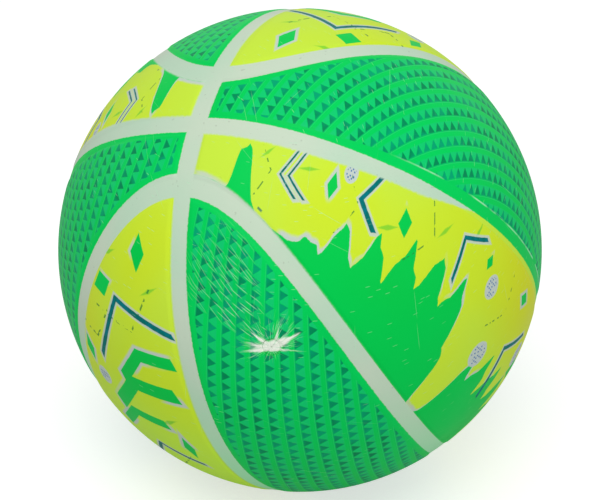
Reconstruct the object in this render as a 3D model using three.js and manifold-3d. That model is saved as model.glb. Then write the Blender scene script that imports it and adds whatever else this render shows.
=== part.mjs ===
// Rubber play ball with eight cover panels, pale recessed seams and a plug valve.
// Millimetres, +Z up. The origin is the middle of the ball, which lies on a small flat contact patch.
//
// In the ball's own frame the seams are laid out about the X axis: two oval seams round +X and -X,
// the cross seam in the plane x = 0 and the long seam in the plane y = 0.
import * as THREE from "three";
import { mergeVertices } from "three/addons/utils/BufferGeometryUtils.js";
import Module from "manifold-3d";

const wasm = await Module();
wasm.setup();

// Layers, from outside to inside
const ballDiameter = 220;
const panelThickness = 1.2;
const carcassThickness = 0.8;
const bladderThickness = 0.6;
const fitGap = 0.3; // left between pieces that touch

// Seams
const seamWidth = 7.5; // channel from panel edge to panel edge
const seamDepth = 0.4; // step down from the panels to the pale strips
const panelEdgeWidth = 0.9; // rounded edge of a panel, along the surface
const panelEdgeDrop = 0.35;
const ovalHalfLength = 75.2; // degrees from the middle of an oval to its tips
const ovalHalfWidth = 42.8; // degrees from the middle of an oval to its sides

// Valve, its place given from the middle of the lower oval
const valvePolar = 43.9; // degrees
const valveTurn = -29.2; // degrees round the middle of the oval, from the front crossing of the seams
const valveSink = 0.3; // how far the valve lies below the panel
const neckRadius = 5.5;
const flangeRadius = 13;
const flangeThickness = 1.2;
const stemRadius = 4.2;
const stemLength = 13; // below the flange
const plugHeadRadius = 3.6;
const plugHeadThickness = 0.9;
const plugShankRadius = 1.9;
const plugTipRadius = 1;
const plugTipLength = 1.5;
const needleHoleRadius = 0.7;
const needleHoleDepth = 9;

// How the ball lies: where it touches the floor, and its turn about the vertical
const contactPolar = 56; // degrees from the middle of the lower oval
const contactTurn = 166.1; // degrees, counted as for the valve
const restSpin = 68.9; // degrees
const contactRadius = 12; // flat that the ball's weight presses

// Facets
const facetDrop = 0.27; // how far the middle of a facet may lie inside the true sphere
const shellDetail = 6; // divisions of the hidden shells, which are icosahedra
const icosahedronEdge = 63.43; // degrees
const widestFacet = 1.26; // of the mean, at the middle of an icosahedron's face
const roundSides = 24;
const acrossSeam = 1; // facets across a seam strip

// Sizes that follow
const ballRadius = ballDiameter / 2;
const panelInner = ballRadius - panelThickness;
const seamTop = ballRadius - seamDepth;
const carcassOuter = panelInner - fitGap;
const carcassInner = carcassOuter - carcassThickness;
const bladderOuter = carcassInner - fitGap;
const bladderInner = bladderOuter - bladderThickness;
const panelMargin = seamWidth / 2 / ballRadius; // radians from a seam's middle line to a panel's edge
const stripMargin = (seamWidth / 2 - fitGap) / ballRadius;
const edgeMargin = panelEdgeWidth / ballRadius;
const facetStep = Math.SQRT2 * Math.acos(1 - facetDrop / ballRadius);
const radians = THREE.MathUtils.degToRad;

// Points and lines on the unit sphere

const onBall = (polar, turn) =>
  new THREE.Vector3(Math.cos(polar), Math.sin(polar) * Math.sin(turn), Math.sin(polar) * Math.cos(turn));

const onLowerOval = (polarDegrees, turnDegrees) => onBall(Math.PI - radians(polarDegrees), radians(turnDegrees));

// A seam round the +X axis: an ellipse when the sphere is laid out flat about that axis
const ringSeam = (halfLength, halfWidth) => (turn) => {
  const across = Math.hypot(halfWidth * Math.cos(turn), halfLength * Math.sin(turn));
  return onBall((halfLength * halfWidth) / across, turn);
};
const ovalSeam = ringSeam(radians(ovalHalfLength), radians(ovalHalfWidth));
const crossSeam = ringSeam(Math.PI / 2, Math.PI / 2);

// The point beside a seam's middle line, away from +X where the angle is positive
function beside(seam, turn, angle) {
  const step = 1e-4;
  const middle = seam(turn);
  const along = seam(turn + step).sub(seam(turn - step));
  const outward = new THREE.Vector3().crossVectors(middle, along).normalize();
  return middle.multiplyScalar(Math.cos(angle)).addScaledVector(outward, Math.sin(angle));
}

// The turn at which the line beside a seam comes clear of the long seam by a margin
function turnClearOf(seam, angle, margin) {
  let low = 0;
  let high = Math.PI / 2;
  for (let round = 0; round < 40; round += 1) {
    const middle = (low + high) / 2;
    if (beside(seam, middle, angle).y < Math.sin(margin)) low = middle;
    else high = middle;
  }
  return high;
}

const stepsFor = (angle) => Math.ceil(angle / facetStep);

// Solids between spherical layers

// Each level is { at, radius }: at(s, t) gives a direction for s along and t across, both 0 to 1.
// The first level is the outer skin, the last is the inner one, and those between only shape the edge.
function layeredPatch(levels, along, across) {
  const positions = [];
  const indices = [];
  const point = (level, s, t) => {
    const place = level.at(s, t).multiplyScalar(level.radius);
    positions.push(place.x, place.y, place.z);
    return positions.length / 3 - 1;
  };
  const quad = (a, b, c, d, otherWay) => {
    if (otherWay) indices.push(a, b, d, b, c, d);
    else indices.push(a, b, c, a, c, d);
  };
  const rim = [];
  for (let i = 0; i < along; i += 1) rim.push([i, 0]);
  for (let j = 0; j < across; j += 1) rim.push([along, j]);
  for (let i = along; i > 0; i -= 1) rim.push([i, across]);
  for (let j = across; j > 0; j -= 1) rim.push([0, j]);
  const skin = (level) =>
    Array.from({ length: along + 1 }, (_, i) =>
      Array.from({ length: across + 1 }, (__, j) => point(level, i / along, j / across)));
  const outer = skin(levels[0]);
  const inner = skin(levels.at(-1));
  for (let i = 0; i < along; i += 1) {
    for (let j = 0; j < across; j += 1) {
      const otherWay = i < along / 2; // corners on the rim are cut the short way
      quad(outer[i][j], outer[i + 1][j], outer[i + 1][j + 1], outer[i][j + 1], otherWay);
      quad(inner[i][j + 1], inner[i + 1][j + 1], inner[i + 1][j], inner[i][j], otherWay);
    }
  }
  const loops = [
    rim.map(([i, j]) => outer[i][j]),
    ...levels.slice(1, -1).map((level) => rim.map(([i, j]) => point(level, i / along, j / across))),
    rim.map(([i, j]) => inner[i][j]),
  ];
  for (let k = 0; k + 1 < loops.length; k += 1) {
    for (let n = 0; n < rim.length; n += 1) {
      const next = (n + 1) % rim.length;
      quad(loops[k + 1][n], loops[k + 1][next], loops[k][next], loops[k][n], false);
    }
  }
  const geometry = new THREE.BufferGeometry();
  geometry.setAttribute("position", new THREE.Float32BufferAttribute(positions, 3));
  geometry.setIndex(indices);
  geometry.computeVertexNormals();
  return geometry;
}

const panelLevels = (directions) => [
  { at: directions(panelMargin + edgeMargin), radius: ballRadius },
  { at: directions(panelMargin), radius: ballRadius - panelEdgeDrop },
  { at: directions(panelMargin), radius: panelInner },
];

// Half of an oval, filled between its straight edge and three stretches of its rim
function ovalPanelDirections(margin) {
  const lerp = THREE.MathUtils.lerp;
  const flat = (direction) => {
    const polar = Math.acos(direction.x);
    const turn = Math.atan2(direction.y, direction.z);
    return new THREE.Vector2(polar * Math.cos(turn), polar * Math.sin(turn));
  };
  const rim = (turn) => flat(beside(ovalSeam, turn, -margin));
  const start = turnClearOf(ovalSeam, -margin, margin);
  const corner = Math.atan2(ovalHalfWidth, ovalHalfLength);
  const tip = beside(ovalSeam, start, -margin);
  const reach = Math.atan2(tip.z, tip.x);
  const straight = (s) => {
    const angle = lerp(reach, -reach, s);
    const side = Math.cos(margin);
    return flat(new THREE.Vector3(side * Math.cos(angle), Math.sin(margin), side * Math.sin(angle)));
  };
  const near = (t) => rim(lerp(start, corner, t));
  const far = (t) => rim(lerp(Math.PI - start, Math.PI - corner, t));
  const top = (s) => rim(lerp(corner, Math.PI - corner, s));
  const corners = [near(0), far(0), near(1), far(1)];
  return (s, t) => {
    const place = new THREE.Vector2()
      .addScaledVector(straight(s), 1 - t)
      .addScaledVector(top(s), t)
      .addScaledVector(near(t), 1 - s)
      .addScaledVector(far(t), s)
      .addScaledVector(corners[0], -(1 - s) * (1 - t))
      .addScaledVector(corners[1], -s * (1 - t))
      .addScaledVector(corners[2], -(1 - s) * t)
      .addScaledVector(corners[3], -s * t);
    return onBall(place.length(), Math.atan2(place.y, place.x));
  };
}

// A side panel lies between an oval and the cross seam
function sidePanelDirections(margin) {
  const edges = [[ovalSeam, margin], [crossSeam, -margin]];
  const starts = edges.map(([seam, angle]) => turnClearOf(seam, angle, margin));
  return (s, t) => {
    const [inner, outer] = edges.map(([seam, angle], k) => {
      const turn = THREE.MathUtils.lerp(starts[k], Math.PI - starts[k], s);
      return beside(seam, turn, angle);
    });
    const whole = inner.angleTo(outer);
    return inner
      .multiplyScalar(Math.sin((1 - t) * whole) / Math.sin(whole))
      .addScaledVector(outer, Math.sin(t * whole) / Math.sin(whole));
  };
}

// The half of a ring seam on the +Y side, up to the long seam's strip at both ends
function seamStrip(seam) {
  const across = [];
  for (let k = 0; k <= acrossSeam; k += 1) {
    const angle = THREE.MathUtils.lerp(-stripMargin, stripMargin, k / acrossSeam);
    across.push({ angle, start: turnClearOf(seam, angle, panelMargin) });
  }
  const at = (s, t) => {
    const { angle, start } = across[Math.round(t * acrossSeam)];
    return beside(seam, THREE.MathUtils.lerp(start, Math.PI - start, s), angle);
  };
  return layeredPatch([{ at, radius: seamTop }, { at, radius: panelInner }], stepsFor(Math.PI), acrossSeam);
}

// The long seam's strip is a whole ring, turned about Y
function longSeamStrip() {
  const profile = [];
  for (let k = 0; k <= acrossSeam; k += 1) {
    const angle = THREE.MathUtils.lerp(-stripMargin, stripMargin, k / acrossSeam);
    profile.push(new THREE.Vector2(seamTop * Math.cos(angle), seamTop * Math.sin(angle)));
  }
  for (let k = acrossSeam; k >= 0; k -= 1) {
    const angle = THREE.MathUtils.lerp(-stripMargin, stripMargin, k / acrossSeam);
    profile.push(new THREE.Vector2(panelInner * Math.cos(angle), panelInner * Math.sin(angle)));
  }
  return new THREE.LatheGeometry([...profile, profile[0]], stepsFor(2 * Math.PI));
}

// Joining and cutting

function toSolid(geometry) {
  const bare = geometry.clone();
  bare.deleteAttribute("normal");
  bare.deleteAttribute("uv");
  const merged = mergeVertices(bare);
  return new wasm.Manifold(new wasm.Mesh({
    numProp: 3,
    vertProperties: Float32Array.from(merged.attributes.position.array),
    triVerts: Uint32Array.from(merged.index.array),
  }));
}

function toGeometry(solid) {
  const mesh = solid.getMesh();
  const geometry = new THREE.BufferGeometry();
  geometry.setAttribute("position", new THREE.BufferAttribute(mesh.vertProperties, 3));
  geometry.setIndex(new THREE.BufferAttribute(mesh.triVerts, 1));
  geometry.computeVertexNormals();
  return geometry;
}

// A round bar from one height to another along a direction from the ball's middle
function roundBar(direction, radius, from, to) {
  const bar = new THREE.CylinderGeometry(radius, radius, to - from, roundSides);
  bar.translate(0, (from + to) / 2, 0);
  bar.applyQuaternion(new THREE.Quaternion().setFromUnitVectors(new THREE.Vector3(0, 1, 0), direction));
  return bar;
}

const valveAxis = onLowerOval(valvePolar, valveTurn);
const contactAxis = onLowerOval(contactPolar, contactTurn);
const valveHole = () => roundBar(valveAxis, neckRadius + fitGap, bladderInner / 2, ballDiameter);

function hiddenShell(outerRadius, innerRadius) {
  const outer = toSolid(new THREE.IcosahedronGeometry(outerRadius, shellDetail));
  const inner = toSolid(new THREE.IcosahedronGeometry(innerRadius, shellDetail));
  return toGeometry(outer.subtract(inner).subtract(toSolid(valveHole())));
}

// A panel's geometry is turned into place by its mesh, so what cuts it is turned back by as much
function pierceForValve(panel, turn) {
  const hole = valveHole().applyQuaternion(turn.clone().invert());
  return toGeometry(toSolid(panel).subtract(toSolid(hole)));
}

// The panel under the contact patch gets a true flat: a disc is joined on, and all below it is cut away
function pressFlat(panel, turn) {
  const flatHeight = Math.sqrt(ballRadius ** 2 - contactRadius ** 2);
  const toPanel = turn.clone().invert();
  const disc = roundBar(contactAxis, contactRadius, panelInner, flatHeight).applyQuaternion(toPanel);
  const below = roundBar(contactAxis, 2 * contactRadius, flatHeight, ballDiameter).applyQuaternion(toPanel);
  return toGeometry(toSolid(panel).add(toSolid(disc)).subtract(toSolid(below)));
}

// Valve pieces, turned about their own +Y axis, which points out of the ball

const valveTop = ballRadius - valveSink;
const boreRadius = plugShankRadius + fitGap;
const seatHeight = valveTop - plugHeadThickness - fitGap;
const hiddenFacetReach = (radians(icosahedronEdge) * widestFacet) / (shellDetail + 1) / Math.sqrt(3);
const hiddenFacetDrop = bladderInner * (1 - Math.cos(hiddenFacetReach));
const flangeTop = bladderInner - hiddenFacetDrop - fitGap;
const flangeBottom = flangeTop - flangeThickness;
const onLayer = (layerRadius, radius) => new THREE.Vector2(radius, Math.sqrt(layerRadius ** 2 - radius ** 2));
const stemBottom = onLayer(flangeBottom, stemRadius).y - stemLength;

const corner = (radius, height) => new THREE.Vector2(radius, height);

function valveHousing() {
  const middleRadius = (flangeRadius + neckRadius) / 2;
  const profile = [
    corner(boreRadius, stemBottom),
    corner(stemRadius, stemBottom),
    onLayer(flangeBottom, stemRadius),
    onLayer(flangeBottom, middleRadius),
    onLayer(flangeBottom, flangeRadius),
    onLayer(flangeTop, flangeRadius),
    onLayer(flangeTop, middleRadius),
    onLayer(flangeTop, neckRadius),
    corner(neckRadius, valveTop),
    corner(plugHeadRadius + fitGap, valveTop),
    corner(plugHeadRadius + fitGap, seatHeight),
    corner(boreRadius, seatHeight),
  ];
  return new THREE.LatheGeometry([...profile, profile[0]], roundSides);
}

function valvePlug() {
  const headBottom = valveTop - plugHeadThickness;
  return new THREE.LatheGeometry([
    corner(0, stemBottom),
    corner(plugTipRadius, stemBottom),
    corner(plugShankRadius, stemBottom + plugTipLength),
    corner(plugShankRadius, headBottom),
    corner(plugHeadRadius, headBottom),
    corner(plugHeadRadius, valveTop),
    corner(needleHoleRadius, valveTop),
    corner(needleHoleRadius, valveTop - needleHoleDepth),
    corner(0, valveTop - needleHoleDepth),
  ], roundSides);
}

// Finishes

const finishes = {
  greenRubber: { color: "#12c566", roughness: 0.32, metalness: 0 },
  yellowRubber: { color: "#cfe83c", roughness: 0.32, metalness: 0 },
  seamRubber: { color: "#c5d3c5", roughness: 0.4, metalness: 0 },
  carcassRubber: { color: "#d6dccf", roughness: 0.6, metalness: 0 },
  bladderRubber: { color: "#33302d", roughness: 0.55, metalness: 0 },
  valveRubber: { color: "#dfe4da", roughness: 0.45, metalness: 0 },
  plugPlastic: { color: "#f1f2ec", roughness: 0.35, metalness: 0 },
};

function addPiece(parent, name, geometry, finish, quaternion) {
  const piece = new THREE.Mesh(geometry, new THREE.MeshStandardMaterial(finishes[finish]));
  piece.name = name;
  if (quaternion) piece.quaternion.copy(quaternion);
  parent.add(piece);
}

// Assembly

// The four quarters, as half turns from the quarter at +X, +Y
const halfTurn = (x, y, z) => new THREE.Quaternion().setFromAxisAngle(new THREE.Vector3(x, y, z), Math.PI);
const quarters = {
  upper_left: new THREE.Quaternion(),
  upper_right: halfTurn(1, 0, 0),
  lower_left: halfTurn(0, 1, 0),
  lower_right: halfTurn(0, 0, 1),
};

const ball = new THREE.Group();
ball.quaternion
  .setFromUnitVectors(contactAxis, new THREE.Vector3(0, 0, -1))
  .premultiply(new THREE.Quaternion().setFromAxisAngle(new THREE.Vector3(0, 0, 1), radians(restSpin)));

addPiece(ball, "bladder", hiddenShell(bladderOuter, bladderInner), "bladderRubber");
addPiece(ball, "carcass", hiddenShell(carcassOuter, carcassInner), "carcassRubber");

const ovalPanel = layeredPatch(
  panelLevels(ovalPanelDirections),
  stepsFor(2 * radians(ovalHalfLength)),
  stepsFor(radians(ovalHalfWidth)),
);
const sidePanel = layeredPatch(
  panelLevels(sidePanelDirections),
  stepsFor(Math.PI),
  stepsFor(Math.PI / 2 - radians(ovalHalfWidth)),
);
const valvePanel = pierceForValve(ovalPanel, quarters.lower_right);
const contactPanel = pressFlat(ovalPanel, quarters.lower_left);

addPiece(ball, "oval_panel_upper_left", ovalPanel, "greenRubber", quarters.upper_left);
addPiece(ball, "oval_panel_upper_right", ovalPanel, "yellowRubber", quarters.upper_right);
addPiece(ball, "oval_panel_lower_left", contactPanel, "yellowRubber", quarters.lower_left);
addPiece(ball, "oval_panel_lower_right", valvePanel, "greenRubber", quarters.lower_right);
addPiece(ball, "side_panel_upper_left", sidePanel, "yellowRubber", quarters.upper_left);
addPiece(ball, "side_panel_upper_right", sidePanel, "greenRubber", quarters.upper_right);
addPiece(ball, "side_panel_lower_left", sidePanel, "greenRubber", quarters.lower_left);
addPiece(ball, "side_panel_lower_right", sidePanel, "yellowRubber", quarters.lower_right);

addPiece(ball, "seam_strip_long", longSeamStrip(), "seamRubber");
addPiece(ball, "seam_strip_cross_left", seamStrip(crossSeam), "seamRubber", quarters.upper_left);
addPiece(ball, "seam_strip_cross_right", seamStrip(crossSeam), "seamRubber", quarters.upper_right);
for (const [quarter, turn] of Object.entries(quarters)) {
  addPiece(ball, `seam_strip_oval_${quarter}`, seamStrip(ovalSeam), "seamRubber", turn);
}

const valve = new THREE.Group();
valve.quaternion.setFromUnitVectors(new THREE.Vector3(0, 1, 0), valveAxis);
addPiece(valve, "valve_housing", valveHousing(), "valveRubber");
addPiece(valve, "valve_plug", valvePlug(), "plugPlastic");
ball.add(valve);

export default ball;
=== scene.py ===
# Rubber play ball: printed cover panels, pale seams and a plug valve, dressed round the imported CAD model.
# Metres, +Z up, the ball's middle at the origin.
from math import atan2, cos, hypot, pi, radians, sin, sqrt

import bmesh
import bpy
import numpy as np
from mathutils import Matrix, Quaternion, Vector


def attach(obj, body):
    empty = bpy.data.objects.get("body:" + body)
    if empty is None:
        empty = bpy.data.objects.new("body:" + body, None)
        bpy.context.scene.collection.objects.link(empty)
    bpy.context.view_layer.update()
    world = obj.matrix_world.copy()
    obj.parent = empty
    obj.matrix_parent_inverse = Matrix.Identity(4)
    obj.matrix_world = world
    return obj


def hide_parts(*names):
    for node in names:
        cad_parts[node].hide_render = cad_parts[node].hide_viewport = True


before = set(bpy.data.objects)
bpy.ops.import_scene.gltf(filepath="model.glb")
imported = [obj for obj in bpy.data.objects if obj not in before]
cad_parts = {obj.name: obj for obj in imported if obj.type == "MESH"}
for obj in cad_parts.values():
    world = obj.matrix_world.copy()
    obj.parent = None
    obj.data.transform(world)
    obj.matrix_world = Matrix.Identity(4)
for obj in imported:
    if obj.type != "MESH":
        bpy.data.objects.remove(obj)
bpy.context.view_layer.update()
print("frame loaded:", len(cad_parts), "nodes")

# Sizes of the CAD model, in metres, but for the few notes beside them

ball = {
    "radius": 0.110,
    "panelThickness": 0.0012,
    "seamDepth": 0.0004,
    "seamWidth": 0.0075,
    "edgeWidth": 0.0022,  # soft edge of a panel, down to the channel: wider than the solids', as it looks
    "ovalHalfLength": radians(75.2),
    "ovalHalfWidth": radians(42.8),
    "contactPolar": 56,  # degrees, where the ball touches the floor
    "contactTurn": 166.1,
    "restSpin": 68.9,
    "contactRadius": 0.012,
}
valve = {
    "polar": 43.9,  # degrees from the middle of the lower oval
    "turn": -29.2,
    "sink": 0.0003,
    "neckRadius": 0.0055,
    "flangeRadius": 0.013,
    "flangeTop": 0.10579,  # from the ball's middle, just under the bladder
    "flangeThickness": 0.0012,
    "stemRadius": 0.0042,
    "stemLength": 0.013,
    "headRadius": 0.0036,
    "headThickness": 0.0009,
    "shankRadius": 0.0019,
    "tipRadius": 0.001,
    "tipLength": 0.0015,
    "needleRadius": 0.0007,
    "needleMouth": 0.0002,  # the hole closes itself at the top
    "neckDepth": 0.0007,  # down to here it is pinched, then it widens
    "wideDepth": 0.0015,
    "needleDepth": 0.009,
    "gap": 0.00006,  # round the plug, tight as the real one looks
    "rimDrop": 0.0001,  # of the housing's top
    "folds": 0.0001,
    "edgeDrop": 0.0002,  # of the plug's head and of the edge of its hole
    "foldDepth": 0.0006,  # how far down the folds of the housing's mouth go
    "pinchStart": 0.0003,  # over the underside of the plug's head, which is drawn together round its hole
    "pinchSpan": 0.002,
    "pinchTwist": 900,
    "crownShare": 0.6,
    "crownDrop": 0.00002,
    "holeDrop": 0.00004,
    "housingRounding": 0.00035,
    "plugRounding": 0.00025,
    "printed": (0.10895, 0.10915),  # from the ball's middle, where the print of the valve's top starts
    "sides": 96,
}
panelMargin = ball["seamWidth"] / 2 / ball["radius"]
edgeMargin = ball["edgeWidth"] / ball["radius"]
panelInside = ball["radius"] - ball["panelThickness"]
floorHeight = -sqrt(ball["radius"] ** 2 - ball["contactRadius"] ** 2)


def onBall(polar, turn):  # direction in the ball's own frame, seams about X
    return np.array([cos(polar), sin(polar) * sin(turn), sin(polar) * cos(turn)])


contactAxis = Vector(onBall(pi - radians(ball["contactPolar"]), radians(ball["contactTurn"])))
valveAxis = Vector(onBall(pi - radians(valve["polar"]), radians(valve["turn"])))
ballTurn = Quaternion((0, 0, 1), radians(ball["restSpin"])) @ contactAxis.rotation_difference(Vector((0, 0, -1)))
ballAxes = [ballTurn @ Vector(axis) for axis in ((1, 0, 0), (0, 1, 0), (0, 0, 1))]
quarters = {
    "upper_left": Quaternion(),
    "upper_right": Quaternion((1, 0, 0), pi),
    "lower_left": Quaternion((0, 1, 0), pi),
    "lower_right": Quaternion((0, 0, 1), pi),
}

# Camera, placed as the photo's

view = {"distance": 0.88, "elevation": 30, "lens": 115.2, "sensor": 36}


def placeCamera():
    data = bpy.data.cameras.new("photo_camera")
    data.lens, data.sensor_width, data.sensor_fit = view["lens"], view["sensor"], "HORIZONTAL"
    camera = bpy.data.objects.new("photo_camera", data)
    bpy.context.scene.collection.objects.link(camera)
    rise = radians(view["elevation"])
    camera.location = view["distance"] * Vector((0, -cos(rise), sin(rise)))
    camera.rotation_euler = (-camera.location).to_track_quat("-Z", "Y").to_euler()
    bpy.context.scene.camera = camera


placeCamera()
bpy.context.scene.view_settings.view_transform = "Standard"

# Expressions of nodes, for materials and for Geometry Nodes alike


class Term:  # one socket's value, used in sums
    def __init__(self, board, socket):
        self.board, self.socket = board, socket

    def twin(self, output):  # another output of the same node
        return Term(self.board, self.socket.node.outputs[output])

    def __add__(self, other):
        return self.board.math("ADD", self, other)

    def __sub__(self, other):
        return self.board.math("SUBTRACT", self, other)

    def __rsub__(self, other):
        return self.board.math("SUBTRACT", other, self)

    def __mul__(self, other):
        return self.board.math("MULTIPLY", self, other)

    def __truediv__(self, other):
        return self.board.math("DIVIDE", self, other)

    def __rtruediv__(self, other):
        return self.board.math("DIVIDE", other, self)

    def __neg__(self):
        return self * -1

    def __abs__(self):
        return self.board.math("ABSOLUTE", self)

    def part(self):  # what is left over whole numbers
        return self - self.board.math("FLOOR", self)

    def rise(self, start, end):  # 0 before start, 1 after end, soft between
        span = {"data_type": "FLOAT", "interpolation_type": "SMOOTHSTEP"}
        inputs = {0: self, 1: start, 2: end} if start < end else {0: self, 1: end, 2: start, 3: 1.0, 4: 0.0}
        return self.board.add("ShaderNodeMapRange", span, inputs)

    __radd__, __rmul__ = __add__, __mul__


class Board:  # the node tree that a material or a modifier is laid out on
    def __init__(self, tree):
        self.tree = tree

    def add(self, kind, settings=None, inputs=None, output=0):
        node = self.tree.nodes.new(kind)
        for name, value in (settings or {}).items():
            setattr(node, name, value)
        for name, value in (inputs or {}).items():
            self.feed(node.inputs[name], value)
        return Term(self, node.outputs[output])

    def feed(self, socket, value):
        if isinstance(value, Term):
            self.tree.links.new(value.socket, socket)
        else:
            socket.default_value = value

    def end(self, kind, value):  # the output node
        self.tree.links.new(value.socket, self.tree.nodes.new(kind).inputs[0])

    def math(self, operation, *values):
        return self.add("ShaderNodeMath", {"operation": operation}, dict(enumerate(values)))

    def vector(self, operation, *values, output=0):
        return self.add("ShaderNodeVectorMath", {"operation": operation}, dict(enumerate(values)), output)

    def join(self, x, y, z=0.0):
        return self.add("ShaderNodeCombineXYZ", {}, {0: x, 1: y, 2: z})

    def least(self, first, *others):
        for value in others:
            first = self.math("MINIMUM", first, value)
        return first

    def most(self, first, *others):
        for value in others:
            first = self.math("MAXIMUM", first, value)
        return first

    def between(self, share, first, second):
        return first + (second - first) * share

    def noise(self, place, scale, detail, rough=0.5):
        inputs = {"Vector": place, "Scale": scale, "Detail": detail, "Roughness": rough}
        return self.add("ShaderNodeTexNoise", {"noise_dimensions": "3D"}, inputs)

    def bump(self, strength, distance, height):
        return self.add("ShaderNodeBump", {}, {"Strength": strength, "Distance": distance, "Height": height})

    def chance(self, x, y):  # a fixed random number for each whole x and y
        return self.add("ShaderNodeTexWhiteNoise", {"noise_dimensions": "2D"}, {"Vector": self.join(x, y)})

    def blend(self, share, first, second):  # of two colours
        return self.add("ShaderNodeMix", {"data_type": "RGBA"}, {0: share, 6: first, 7: second}, 2)

    def paint(self, colour, *layers):  # each a share and the ink that it shows
        for share, over in layers:
            colour = self.blend(share, colour, over)
        return colour


def emptyBoard(holder):  # for a material or a world
    holder.use_nodes = True
    holder.node_tree.nodes.clear()
    return Board(holder.node_tree)


def ink(red, green, blue):  # a screen colour as the shader wants it
    linear = [((c / 255 + 0.055) / 1.055) ** 2.4 if c > 10 else c / 255 / 12.92 for c in (red, green, blue)]
    return (*linear, 1)


# The printed skin: everything is laid out in a flat chart about the middle of an oval, in degrees

palette = {
    "green": ink(0, 216, 98),
    "greenDeep": ink(0, 202, 82),
    "greenSoft": ink(18, 202, 120),
    "teal": ink(0, 158, 116),
    "tealDeep": ink(0, 134, 86),
    "mintHighlight": ink(60, 226, 140),
    "yellow": ink(201, 236, 66),
    "yellowWarm": ink(207, 234, 46),
    "yellowSidesPaintedReflection": ink(224, 224, 16),  # painted reflection: warmer towards the two sides of the ball
    # painted light: lighter for the lower half of the ball
    "yellowLowPaintedLight": ink(206, 255, 70),
    "rubber": ink(201, 218, 196),
    "rubberCool": ink(188, 218, 192),
    "rubberLowPaintedLight": ink(164, 248, 188),  # painted light: the lower half is lighter and greener
    "speck": ink(120, 130, 110),
    "halo": ink(196, 208, 206),
    "bar": ink(0, 112, 104),
    "blue": ink(10, 104, 170),
    # whitish: scratches where they catch the light, and the ink of painted highlights
    "scratchGlint": ink(170, 238, 192),
    "burst": ink(250, 252, 240),
    # painted shade in the grooves of the valve's core
    "burstShade": ink(196, 232, 202),
    "smear": ink(96, 206, 52),
    "block": ink(0, 196, 60),
    "dash": ink(40, 130, 60),
    "barLight": ink(0, 120, 130),
}
printing = {
    # Degrees from a seam's middle line to the ink: at the front crossing, then from, to and change of each stretch
    "greenFromLong": 2.1,
    "yellowFromLong": (1.3, (26, 6, 0.9)),
    "greenFromCross": (1.8, (4, 50, -2.15), (46, 62, -0.45)),
    "yellowFromCross": (2.2, (4, 34, 1.6), (50, 74, -4.3)),
    "ovalInner": (73.3, 40.8),  # half length and width of the ovals that the print keeps inside or outside
    "ovalOuter": (78.5, 44.6),
    "ragged": 0.35,  # how far the print's edge strays
    "lap": 3,  # how near the cross seam the green may run over its middle
    "patternMargin": 1.6,
    "patternFromCross": 0.7,  # more margin beside the cross seam
    "rubbedGlintLine": 2.3,  # degrees from the cross seam
    "step": 2.9,  # along a row, from one triangle to the next
    "depth": 0.62,  # of a row, taken by the triangles
    "base": 0.88,  # of a step along the row, taken by a triangle's base
    "ridgeHighlightPlace": 0.945,  # of a row, where a painted highlight runs along its ridge
    # Row number from the chart: at the middle, for a degree across, along, across times along, along twice
    "bandRows": (12.805, 0.25804, -0.06708, -0.000295, 0.000184),
    "ovalRows": (-0.904, 0.28316, -0.07381, -0.000049, 0.000101),
}


class Chart:  # where a point lies: along and across from an oval's middle, and how far from the seams
    def __init__(self, board):
        self.board = board
        self.place = board.add("ShaderNodeTexCoord", output="Object")
        direction = board.vector("NORMALIZE", self.place)
        x, y, z = (board.vector("DOT_PRODUCT", direction, tuple(axis), output="Value") for axis in ballAxes)
        flat = board.math("SQRT", board.most(y * y + z * z, 1e-8))
        degree = 180 / pi
        stretch = board.math("ARCCOSINE", board.least(abs(x), 1.0)) * degree / flat
        world = board.add("ShaderNodeSeparateXYZ", {}, {0: direction}, "Z")
        self.x = x
        # The lower half of the ball at rest, which is painted lighter and greener as painted light
        self.low = world.rise(0.1, -0.75)
        # The ball's left and right sides at rest, where the yellow takes a painted reflection
        self.sidesReflection = abs(world.twin("X")).rise(0.66, 0.96)
        self.along = z * stretch
        self.across = y * stretch * board.math("SIGN", x)
        self.fromLong = board.math("ARCSINE", abs(y)) * degree
        self.fromCross = board.math("ARCSINE", -(x * board.math("SIGN", y))) * degree  # positive on the green side
        self.fromPole = board.math("ARCCOSINE", board.least(abs(z), 1.0)) * degree

    def noise(self, scale, detail=2.0, rough=0.5):
        return self.board.noise(self.place, scale, detail, rough)

    def oval(self, halfLength, halfWidth):  # degrees outside an oval, negative within
        board, u, v = self.board, self.along, self.across
        share = (u / halfLength) * (u / halfLength) + (v / halfWidth) * (v / halfWidth)
        slope = (u / halfLength**2) * (u / halfLength**2) + (v / halfWidth**2) * (v / halfWidth**2)
        return (share - 1) / (2 * board.math("SQRT", board.most(slope, 1e-7)))


def overWay(way, value, *stretches):  # a value that changes by and by over stretches of a way
    for start, end, change in stretches:
        value = way.rise(start, end) * change + value
    return value


def inkMasks(chart):  # degrees inside the green and the yellow print, and which ink the oval has
    board = chart.board
    ragged = (chart.noise(900.0, 3.0) - 0.5) * printing["ragged"]
    inner = chart.oval(*printing["ovalInner"]) + ragged
    outer = chart.oval(*printing["ovalOuter"]) + ragged
    fromLong = chart.fromLong + ragged
    greenStart, yellowStart, yellowLong = (overWay(chart.fromPole, *printing[key]) for key in
                                           ("greenFromCross", "yellowFromCross", "yellowFromLong"))
    greenCross = chart.fromCross + ragged - greenStart
    yellowCross = -chart.fromCross + ragged * 2 - yellowStart
    greenLong, yellowLong = fromLong - printing["greenFromLong"], fromLong - yellowLong
    greenSide = chart.across.rise(-0.2, 0.2)
    green = board.between(greenSide, board.least(outer, greenLong, greenCross), board.least(-inner, greenLong))
    lap = board.least(greenCross, greenLong, printing["lap"] - abs(chart.fromCross))
    green = board.most(green, lap)  # the green runs on a little over the middle of the cross seam
    yellow = board.between(greenSide, board.least(-inner, yellowLong), board.least(outer, yellowLong, yellowCross))
    return green, yellow, greenSide


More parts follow.
